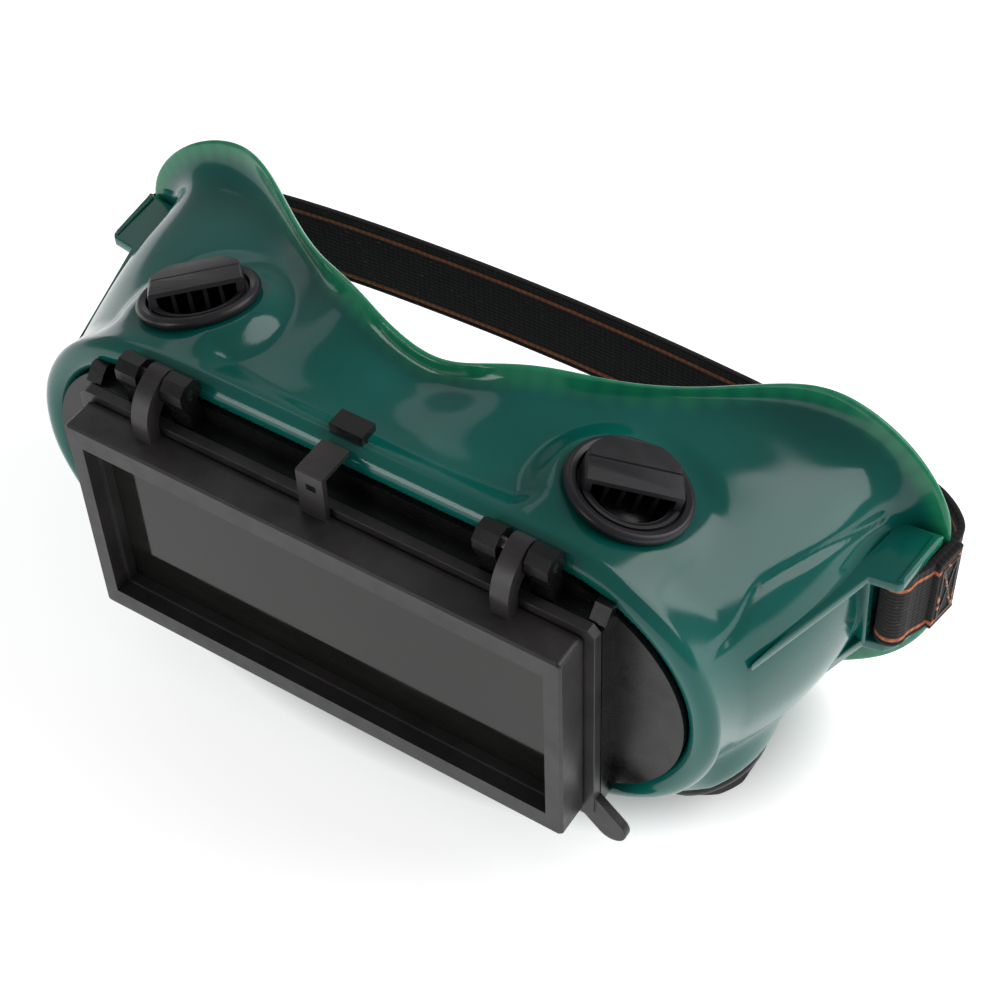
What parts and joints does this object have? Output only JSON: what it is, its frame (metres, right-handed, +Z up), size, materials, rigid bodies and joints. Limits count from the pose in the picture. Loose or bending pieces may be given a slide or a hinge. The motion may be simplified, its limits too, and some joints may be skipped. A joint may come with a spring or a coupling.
{
  "type": "welding goggles",
  "caption": "Flip-front welding goggles: soft green mask with rectangular shade lens in a hinged black frame, clear inner lens, round turning vents and an elastic headband.",
  "frame": {"origin": "centre of the flip frame's front face, at rest (flip closed)", "axes": "+X to the wearer's left, +Y from the front back toward the face, +Z up"},
  "size_m": [0.2018, 0.0972, 0.0879],
  "materials": {
    "mask_pvc": "glossy soft PVC, dark teal green",
    "carrier_plastic": "satin black moulded plastic",
    "flip_plastic": "satin black moulded plastic",
    "vent_plastic": "semi-gloss black moulded plastic",
    "shade_glass": "polished, very dark",
    "clear_plate": "polished clear",
    "elastic": "knitted black elastic with orange edge lines",
    "thread": "sewing thread",
    "pin_steel": "plain steel wire"
  },
  "bodies": {
    "mask": {"mask_body": "mask_pvc", "lens_carrier": "carrier_plastic", "clear_lens": "clear_plate", "clear_lens_retainer": "carrier_plastic", "hinge_pin_left": "pin_steel", "hinge_pin_right": "pin_steel", "headband": "elastic", "strap_stitch_left": "thread", "strap_stitch_right": "thread", "vent_seat_top_left": "vent_plastic", "vent_seat_top_right": "vent_plastic", "vent_seat_low_left": "vent_plastic", "vent_seat_low_right": "vent_plastic"},
    "flip_front": {"flip_bezel": "flip_plastic", "flip_back_plate": "flip_plastic", "shade_lens": "shade_glass"},
    "hood_top_left": {"vent_hood_top_left": "vent_plastic"},
    "hood_top_right": {"vent_hood_top_right": "vent_plastic"},
    "hood_low_left": {"vent_hood_low_left": "vent_plastic"},
    "hood_low_right": {"vent_hood_low_right": "vent_plastic"}
  },
  "joints": [
    {"name": "flip_hinge", "type": "hinge", "parent": "mask", "child": "flip_front", "pos_m": [0, 0.0119, 0.0375], "axis": [-1, 0, 0], "range_deg": [0, 140]},
    {"name": "vent_top_left_turn", "type": "hinge", "parent": "mask", "child": "hood_top_left", "pos_m": [0.0496, 0.0356, 0.0348], "axis": [0.2588, 0.1677, 0.9513], "continuous": true},
    {"name": "vent_top_right_turn", "type": "hinge", "parent": "mask", "child": "hood_top_right", "pos_m": [-0.0496, 0.0356, 0.0348], "axis": [-0.2588, 0.1677, 0.9513], "continuous": true},
    {"name": "vent_low_left_turn", "type": "hinge", "parent": "mask", "child": "hood_low_left", "pos_m": [0.068, 0.0395, -0.036], "axis": [0.5299, 0, -0.848], "continuous": true},
    {"name": "vent_low_right_turn", "type": "hinge", "parent": "mask", "child": "hood_low_right", "pos_m": [-0.068, 0.0395, -0.036], "axis": [-0.5299, 0, -0.848], "continuous": true}
  ]
}
